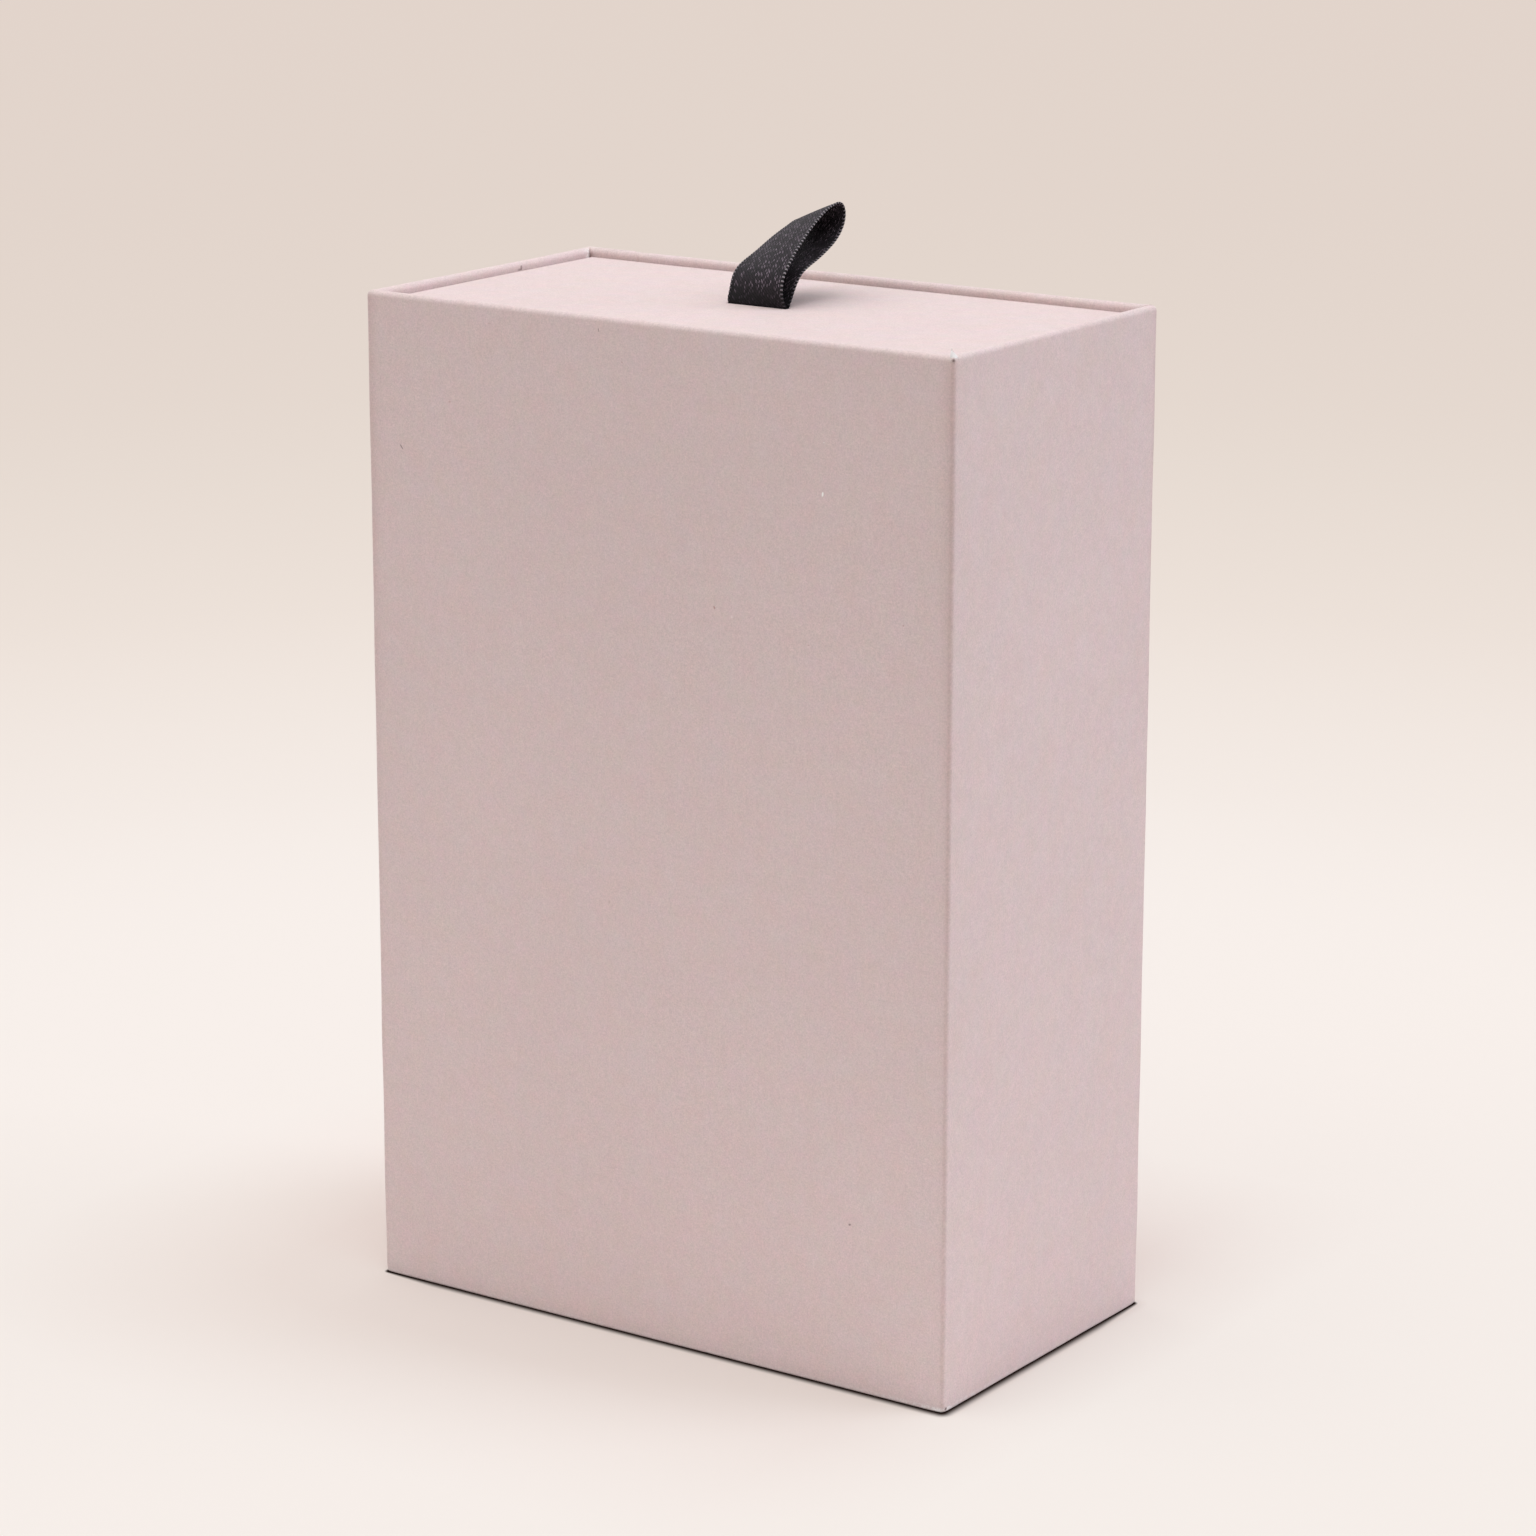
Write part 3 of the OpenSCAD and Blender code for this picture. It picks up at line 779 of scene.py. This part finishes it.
def drawer_sheet():
    """The drawer's sheet, drawn as a box on its back and then stood up."""
    w, h, d = DRAWER_HIGH - DRAWER_LOW
    middle = h / 2
    half = [4.0] + [SLIT_HALF_W + e for e in (0.0, 0.08, 0.7, 1.6)]
    spans = [-s for s in reversed(half)] + [0.0] + half
    slit_spots = tuple((GRADED + s, 0.5) for s in spans)
    stations = Stations(w, d, 6.0, (slit_spots, (), slit_spots, ()))
    heights = sorted(
        [1.3, 2.0, 3.2, 5.0, 8.0, 13.0, 18.0, 23.0, 28.0, 32.0]
        + [middle + k * (SLIT_HALF_H + e) for k in (-1, 1) for e in (0.0, 0.08, 0.5, 1.3)]
        + [42.0, 46.0, 51.0, 56.0, 61.0]
        + [h - e for e in (8.0, 5.0, 3.2, 2.0, 1.3)]
    )
    profile = section(h, (2.4, 1.6, 1.2), heights, FOLD_R)
    grid = sweep(stations, profile)
    n = normals_of(grid)
    rows, columns = grid.shape[:2]
    flat = grid.reshape(-1, 3)
    out = 0.03 * ripple(flat, 80, 13) + 0.015 * ripple(flat, 26, 15)
    out = out.reshape(rows, columns) + corner_fold(stations, grid, profile)
    points = (grid + n * out[:, :, None]).reshape(-1, 3)
    faces = grid_faces(rows, columns)
    points, faces = close_base(stations, points, faces)
    points, faces = cut_slit(points, faces, d / 2, middle)
    obj = mesh_object("drawer_paper", points, faces, drawer_paper)
    # stood up: its open side towards -Y and its front uppermost
    stand = Matrix.Translation((0, DRAWER_HIGH[1] * MM, (FRONT_Z - d / 2) * MM))
    obj.data.transform(stand @ Matrix.Rotation(math.pi / 2, 4, "X"))
    p = np.array([v.co for v in obj.data.vertices]) / MM
    x, y, z = p.T
    to_x, to_y = w / 2 - np.abs(x), h / 2 - np.abs(y)
    to_z = np.minimum(FRONT_Z - z, z - DRAWER_LOW[2])
    # Painted shade darkens the folded edges; the corners are worn pale.
    edges = np.exp(-(to_x + to_z) / 0.5) + np.exp(-(to_y + to_z) / 0.5)
    tips = np.exp(-(to_x + to_y + to_z) / 0.9)
    paint(obj, "wear_and_highlight", 0.3 * tips)
    paint(obj, "edge", np.clip(0.5 * edges, 0, 1))
    return obj


sleeve_paper = sleeve_sheet()
thicken(sleeve_paper, PAPER)
finish_mesh(sleeve_paper)
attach(sleeve_paper, "sleeve")
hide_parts("sleeve_wrap")


def corner_ear():
    """Where the wrap's flaps meet on the near corner of the rim, a small fold of paper
    stands up in a point and curls over."""
    x0, y0, z0 = SLEEVE_HIGH[0], SLEEVE_LOW[1], SLEEVE_HIGH[2]
    low_right = np.array([x0 - 0.02, y0 + 2.1, z0 - 0.58])
    low_left = np.array([x0 - 1.15, y0 + 0.12, z0 - 0.30])
    tip = np.array([x0 - 1.15, y0 + 0.75, z0 + 1.65])
    count = EAR_STEPS
    points, faces, index = [], [], {}
    for i in range(count + 1):
        for j in range(count + 1 - i):
            u, v = i / count, j / count
            u *= (1 - v) ** 0.3
            spot = low_left * (1 - u - v) + low_right * u + tip * v
            belly = math.sin(math.pi * min(1, u + 0.35 * v)) * (1 - v)
            spot = spot + np.array([0.34, -0.30, 0.10]) * belly
            spot[2] -= 0.35 * u * v
            index[i, j] = len(points)
            points.append(spot)
    for i in range(count):
        for j in range(count - i):
            faces.append((index[i, j], index[i + 1, j], index[i, j + 1]))
            if i + j < count - 1:
                faces.append((index[i + 1, j], index[i + 1, j + 1], index[i, j + 1]))
    obj = mesh_object("rim_corner_ear", points, faces, paper)
    # the ear is painted pale all over: worn paper, and a painted highlight where it catches
    # the light
    paint(obj, "wear_and_highlight", np.full(len(points), 2.5))
    return obj


ear = corner_ear()
thicken(ear, PAPER)
finish_mesh(ear)
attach(ear, "sleeve")

drawer_paper_sheet = drawer_sheet()
thicken(drawer_paper_sheet, PAPER)
finish_mesh(drawer_paper_sheet)
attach(drawer_paper_sheet, "drawer")
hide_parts("drawer_wrap")


# ---- Ribbon -----------------------------------------------------------------------------

# The loop's two edges from the slit over the fold and back, [y, z] above the drawer's front
RIGHT_EDGE = (
    (-0.50, 0.0), (-0.85, 0.7), (-1.3, 1.5), (-1.65, 2.6), (-1.75, 4.2), (-1.25, 6.4),
    (0.2, 8.4), (2.1, 10.2), (4.1, 11.9), (6.3, 13.5), (8.6, 15.1), (11.05, 16.6),
    (13.6, 18.0), (16.3, 19.25), (18.9, 20.0), (20.8, 20.3), (22.4, 19.7), (23.0, 18.1),
    (22.4, 16.2), (21.1, 14.4), (19.4, 12.9), (17.5, 11.7), (15.4, 10.7), (13.2, 9.75),
    (10.9, 8.9), (8.5, 8.1), (6.4, 7.2), (4.75, 6.0), (3.55, 4.6), (2.6, 3.2),
    (1.85, 1.9), (1.1, 0.8), (0.55, 0.0),
)
LEFT_EDGE = (
    (-0.50, 0.0), (-0.70, 0.7), (-0.6, 1.4), (-0.25, 2.3), (0.15, 3.8), (0.9, 5.6),
    (2.5, 7.2), (4.9, 8.35), (7.5, 9.3), (10.05, 10.25), (12.55, 11.3), (15.1, 12.3),
    (17.7, 13.2), (20.3, 14.0), (22.8, 14.75), (24.9, 15.0), (26.0, 14.3), (25.6, 13.0),
    (23.9, 11.9), (21.5, 11.0), (18.8, 10.15), (16.0, 9.35), (13.2, 8.55), (10.5, 7.75),
    (8.0, 6.9), (5.9, 5.75), (4.2, 4.5), (2.9, 3.1), (1.9, 1.8), (1.1, 0.8), (0.55, 0.0),
)


def through(points, steps=14):
    """A smooth line through the points."""
    p = np.array(points, float)
    p = np.vstack([2 * p[0] - p[1], p, 2 * p[-1] - p[-2]])
    t = np.linspace(0, 1, steps, endpoint=False)[:, None]
    line = []
    for a, b, c, d in zip(p, p[1:], p[2:], p[3:]):
        line.append(0.5 * (2 * b + (c - a) * t + (2 * a - 5 * b + 4 * c - d) * t ** 2
                           + (3 * b - a - 3 * c + d) * t ** 3))
    return np.vstack(line + [p[-2:-1]])


def run_of(line):
    """Distance along a line, at each of its points."""
    return np.concatenate([[0], np.cumsum(np.linalg.norm(np.diff(line, axis=0), axis=1))])


def evenly(line, count):
    """The line again, in so many equal steps."""
    run = run_of(line)
    at = np.linspace(0, run[-1], count + 1)
    return np.column_stack([np.interp(at, run, line[:, k]) for k in range(line.shape[1])])


def ribbon_edge(edge):
    """One edge from tail to tail: the two edges share every point but the loop's."""
    r = TAIL_TURN_R
    centre_z = TAIL_Z + r
    turn = [(LEG_MID + r - r * math.cos(a), centre_z - r * math.sin(a))
            for a in np.radians(np.linspace(90, 0, 9))]
    run = [(y, TAIL_Z) for y in np.linspace(TAIL_REACH, LEG_MID + r + 0.3, 40)]
    rise = [(LEG_MID, z) for z in np.linspace(centre_z + 0.3, FRONT_Z - 0.4, 8)]
    leg = np.array(run + turn + rise)
    loop = evenly(through(edge), LOOP_STEPS) + (0, FRONT_Z)
    return np.vstack([leg * (-1, 1), loop, leg[::-1]])


def ribbon_course():
    """The strip from tail to tail in even steps: how far along, its middle, and its
    directions across and out."""
    right, left = (ribbon_edge(edge) for edge in (RIGHT_EDGE, LEFT_EDGE))
    gone = (run_of(right) + run_of(left)) / 2
    count = int(round(gone[-1] / RIBBON_STEP))
    along = np.linspace(0, gone[-1], count + 1)
    weights = np.exp(-np.linspace(-2.2, 2.2, 2 * SOFTEN + 1) ** 2)
    weights /= weights.sum()

    def softened(edge):
        line = np.column_stack([np.interp(along, gone, edge[:, k]) for k in (0, 1)])
        padded = np.vstack([
            2 * line[0] - line[SOFTEN:0:-1], line,
            2 * line[-1] - line[-2:-SOFTEN - 2:-1],
        ])
        return np.column_stack([
            np.convolve(padded[:, k], weights, "valid") for k in (0, 1)
        ])

    right, left = softened(right), softened(left)
    # the edges' distance in Y and Z tells how far the strip is turned out of X
    apart = np.linalg.norm(right - left, axis=1)
    half = np.sqrt(RIBBON_W ** 2 - apart ** 2) / 2
    a = np.column_stack([half, right])
    b = np.column_stack([-half, left])
    cross = (a - b) / RIBBON_W
    middle = (a + b) / 2
    ahead = np.gradient(middle, axis=0)
    ahead /= np.linalg.norm(ahead, axis=1, keepdims=True)
    out = np.cross(cross, ahead)
    out /= np.linalg.norm(out, axis=1, keepdims=True)
    # the strip starts on the front tail, goes up the front leg and down the back one
    if out[count // 4][1] > 0:
        out = -out
    return along, middle, cross, out


def ribbon_strip():
    along, middle, cross, out = ribbon_course()
    length = along[-1]
    rng = np.random.default_rng(21)
    wander = np.interp(along, np.linspace(0, length, 60), rng.normal(size=60))
    # places across: a round bead along each edge, and a flat cloth between
    bead = [(0.0, 0.0), (0.05, 0.13), (0.18, 0.205), (0.36, 0.21), (0.52, 0.15),
            (0.66, 0.125)]
    cloth = [-6.3, -5.4, -4.2, -2.8, -1.4, 0.0, 1.4, 2.8, 4.2, 5.4, 6.3]
    half_w, half_t = RIBBON_W / 2, RIBBON_T / 2
    upper = [(-half_w + e, t) for e, t in bead] + [(c, half_t * 0.86) for c in cloth]
    upper += [(half_w - e, t) for e, t in reversed(bead)]
    loop = upper + [(c, -t) for c, t in reversed(upper[1:-1])]
    points = []
    painted = {"across": [], "along": [], "selvedge": [], "painted_slit_shade": []}
    for i, s in enumerate(along):
        wave = 0.5 + 0.5 * math.sin(2 * math.pi * s / STITCH)
        free = smooth(s, 22, 30) * smooth(length - s, 22, 30)
        # painted shade: full up to 1.2 mm above the drawer's front, gone by 6 mm
        painted_slit_shade = 1 - float(smooth(middle[i][2] - FRONT_Z, 1.2, 6.0))
        for c, t in loop:
            near = smooth(abs(c), half_w - 0.7, half_w - 0.05)
            scallop = near * (0.10 * (wave - 0.5) + 0.015 * wander[i])
            sideways = c + math.copysign(1, c) * scallop
            thick = t * (1 - 0.25 * near * (1 - wave))
            cup = 0.10 * (1 - (c / half_w) ** 2) * free
            points.append(middle[i] + cross[i] * sideways + out[i] * (thick + cup))
            painted["across"].append(c + half_w)
            painted["along"].append(s)
            painted["selvedge"].append(
                float(smooth(abs(c), half_w - 0.62, half_w - 0.45)))
            painted["painted_slit_shade"].append(painted_slit_shade)
    ring = len(loop)
    last = len(along) - 1
    faces = grid_faces(last + 1, ring)
    faces.append(tuple(range(ring - 1, -1, -1)))
    faces.append(tuple(last * ring + k for k in range(ring)))
    obj = mesh_object("pull_ribbon", points, faces, woven)
    bm = bmesh.new()
    bm.from_mesh(obj.data)
    bmesh.ops.recalc_face_normals(bm, faces=bm.faces)
    bm.to_mesh(obj.data)
    bm.free()
    for name, values in painted.items():
        paint(obj, name, values)
    return obj, length


pull_ribbon, ribbon_length = ribbon_strip()
finish_mesh(pull_ribbon, 60)
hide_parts("ribbon_loop", "ribbon_tails")
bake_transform(pull_ribbon)


# ---- Floor, light and camera ------------------------------------------------------------

# The floor's colours by distance from the object in metres: as it shows, and as it
# throws light back. Both are lighter near the object: a painted pool of light.
FLOOR_SEEN = (
    (0.00, (0.935, 0.885, 0.845)),
    (0.32, (0.930, 0.880, 0.840)),
    (0.46, (0.900, 0.842, 0.795)),
    (0.72, (0.831, 0.752, 0.687)),
    (1.15, (0.776, 0.680, 0.617)),
    (1.86, (0.761, 0.662, 0.601)),
    (4.00, (0.761, 0.658, 0.597)),
)
FLOOR_BOUNCE = (
    (0.00, (0.855, 0.808, 0.785)),
    (0.25, (0.835, 0.785, 0.762)),
    (0.50, (0.600, 0.556, 0.530)),
    (1.00, (0.410, 0.374, 0.352)),
    (2.00, (0.370, 0.338, 0.320)),
)
FLOOR_LIT = (0.883, 0.833, 0.820)
FLOOR_HALF = 9.0
AMBIENT = 0.645
AMBIENT_COLOUR = (1.0, 0.985, 0.975)


def floor_material():
    """Pale seamless paper with a painted pool of light: its colour is lightest round the
    object. Far from it, and partly near it, the camera sees the paper's colour as it is,
    so that its shadows stay faint. A painted contact shadow darkens it at the box's foot."""
    s = Shader("floor")
    flat = s.vector("MULTIPLY", s.place, (1.0, 1.0, 0.0)).outputs[0]
    far = s.vector("LENGTH", flat).outputs["Value"]

    def ramp(reach, stops):
        node = s.add("ValToRGB", {"Fac": s.spread(far, 0.0, reach)})
        node.color_ramp.interpolation = "B_SPLINE"
        points = node.color_ramp.elements
        while len(points) < len(stops):
            points.new(0.5)
        for point, (at, colour) in zip(points, stops):
            point.position = at / reach
            point.color = (*colour, 1.0)
        return node.outputs["Color"]

    # distance from the box's foot, and a painted contact shadow: a dark line where the box
    # touches the floor
    corner = ((SLEEVE_HIGH[0] - CORNER_R) * MM, (SLEEVE_HIGH[1] - CORNER_R) * MM, 0.0)
    beyond = s.vector(
        "SUBTRACT", s.vector("ABSOLUTE", s.place).outputs[0], corner).outputs[0]
    gap = s.vector("LENGTH", s.vector("MAXIMUM", beyond, (0.0, 0.0, 0.0)).outputs[0])
    gap = s.maths("SUBTRACT", gap.outputs["Value"], CORNER_R * MM)
    # the painted shadow line dies out towards the two corners where the floor is seen past
    # the box
    parts = s.add("SeparateXYZ", {"Vector": s.place}).outputs
    reach = s.maths("MULTIPLY", s.spread(parts["X"], -0.074, -0.060, 0.3, 1.0),
                    s.spread(parts["Y"], 0.040, 0.022, 0.3, 1.0))
    line = s.spread(
        s.maths("DIVIDE", gap, reach), -0.0003, 0.0023, kind="SMOOTHSTEP")
    seen = s.mix(line, (0.036, 0.020, 0.016), ramp(4.0, FLOOR_SEEN))
    # painted shade: the light the floor throws back is dark within about 2 mm of the box's
    # foot
    bounce = s.mix(
        s.spread(gap, 0.0, 0.0022), (0.10, 0.07, 0.06), ramp(2.0, FLOOR_BOUNCE))
    grain = s.noise(420.0, 2.0, 0.6)
    rough = s.spread(grain, 0.3, 0.7, 0.9, 1.0)
    lit = s.add("BsdfDiffuse", {
        "Color": s.vector("MULTIPLY", seen, FLOOR_LIT).outputs[0], "Roughness": rough,
    })
    plain = s.add("Emission", {"Color": seen, "Strength": 1.0})
    # In front and to the left the box's soft shadow is left as dark as it falls; to the
    # right, from 3 mm out, two thirds of what the camera sees is the plain colour, which
    # paints much of that shadow out.
    to_right = s.spread(parts["X"], 0.060, 0.100)
    near_front = s.spread(gap, 0.025, 0.090, 0.03, 0.62)
    near_right = s.spread(gap, 0.0008, 0.003, 0.0, 0.68)
    near = s.maths("ADD", near_front, s.maths("MULTIPLY", to_right, s.maths(
        "SUBTRACT", near_right, near_front)))
    share = s.maths("MAXIMUM", near, s.spread(far, 0.15, 1.0, 0.0, 1.0))
    shown = s.add("MixShader", {0: share, 1: lit.outputs[0], 2: plain.outputs[0]})
    unseen = s.add("BsdfDiffuse", {"Color": bounce, "Roughness": rough})
    camera_ray = s.add("LightPath").outputs["Is Camera Ray"]
    both = s.add("MixShader", {0: camera_ray, 1: unseen.outputs[0], 2: shown.outputs[0]})
    s.tree.links.new(both.outputs[0], s.out.inputs["Surface"])
    return s.material


def make_floor():
    bm = bmesh.new()
    bmesh.ops.create_grid(bm, x_segments=48, y_segments=48, size=FLOOR_HALF)
    mesh = bpy.data.meshes.new("floor")
    bm.to_mesh(mesh)
    bm.free()
    floor = link(bpy.data.objects.new("floor", mesh))
    mesh.materials.append(floor_material())


def make_world():
    """Soft light from all round; the camera sees the far floor's colour in its place."""
    world = bpy.data.worlds.new("studio")
    bpy.context.scene.world = world
    world.use_nodes = True
    nodes, links = world.node_tree.nodes, world.node_tree.links
    nodes.clear()
    choose = nodes.new("ShaderNodeMixShader")
    rays = nodes.new("ShaderNodeLightPath")
    links.new(rays.outputs["Is Camera Ray"], choose.inputs[0])
    for socket, colour, strength in (
        (1, AMBIENT_COLOUR, AMBIENT), (2, FLOOR_SEEN[-1][1], 1.0),
    ):
        glow = nodes.new("ShaderNodeBackground")
        glow.inputs["Color"].default_value = (*colour, 1.0)
        glow.inputs["Strength"].default_value = strength
        links.new(glow.outputs[0], choose.inputs[socket])
    out = nodes.new("ShaderNodeOutputWorld")
    links.new(choose.outputs[0], out.inputs["Surface"])


def way_to(azimuth, elevation):
    """Direction outwards, in degrees: azimuth from -Y towards +X."""
    a, e = math.radians(azimuth), math.radians(elevation)
    return Vector((math.sin(a) * math.cos(e), -math.cos(a) * math.cos(e), math.sin(e)))


def aimed_lamp(name, kind, azimuth, elevation, distance, aim, colour):
    way = way_to(azimuth, elevation)
    lamp = bpy.data.lights.new(name, kind)
    lamp.color = colour
    obj = link(bpy.data.objects.new(name, lamp))
    obj.location = Vector(aim) + way * distance
    obj.rotation_mode = "QUATERNION"
    obj.rotation_quaternion = way.to_track_quat("Z", "Y")
    return lamp


def softbox(name, azimuth, elevation, distance, size, level, colour):
    """A square area lamp towards the object. level is what it adds to a white surface
    that faces it, where 1 shows a colour as it is written."""
    lamp = aimed_lamp(name, "AREA", azimuth, elevation, distance, (0, 0, 0.11), colour)
    lamp.shape = "SQUARE"
    lamp.size = size
    lamp.energy = level * math.pi * math.pi * distance ** 2


def kicker(name, azimuth, elevation, distance, aim, reach, level, colour):
    """A low soft spot lamp that lifts the foot of the faces it meets."""
    lamp = aimed_lamp(name, "SPOT", azimuth, elevation, distance, aim, colour)
    lamp.spot_size = 2 * math.atan(reach / distance)
    lamp.spot_blend = 1.0
    lamp.shadow_soft_size = 0.25
    lamp.energy = level * 4 * math.pi ** 2 * distance ** 2


make_floor()
make_world()
softbox("key", -60, 72, 2.2, 2.6, 0.60, (0.965, 1.02, 1.03))
softbox("top", 150, 80, 2.2, 1.8, 0.18, (0.93, 1.05, 1.10))
softbox("side", 122, 26, 2.4, 1.4, 0.28, (0.92, 1.03, 1.20))
kicker("front_foot", -48, 7, 1.8, (0, 0, 0.025), 0.25, 0.15, (0.93, 1.02, 1.05))
kicker("side_foot", 128, 9, 1.8, (0, 0, 0.05), 0.26, 0.08, (0.93, 1.03, 1.10))

# The photo's camera, fitted to the box's edges. HEIGHT is the sleeve's, in metres.
LENS = 112.97
AZIMUTH, ELEVATION, ROLL = 34.64, 14.467, -0.063
HEIGHT = 0.224
DISTANCE = 4.702 * HEIGHT
SIDE_SHIFT = 0.0097 * HEIGHT
AIM_Z = 0.5378 * HEIGHT


def make_camera():
    turn = math.radians(AZIMUTH)
    target = Vector((SIDE_SHIFT * math.cos(turn), SIDE_SHIFT * math.sin(turn), AIM_Z))
    back = way_to(AZIMUTH, ELEVATION)
    lens = bpy.data.cameras.new("camera")
    lens.lens = LENS
    lens.sensor_width = 36
    lens.clip_start, lens.clip_end = 0.05, 60
    camera = link(bpy.data.objects.new("camera", lens))
    camera.location = target + back * DISTANCE
    camera.rotation_mode = "QUATERNION"
    camera.rotation_quaternion = (
        (-back).to_track_quat("-Z", "Y")
        @ Matrix.Rotation(math.radians(-ROLL), 4, "Z").to_quaternion()
    )
    bpy.context.scene.camera = camera


make_camera()
bpy.context.scene.view_settings.view_transform = "Standard"
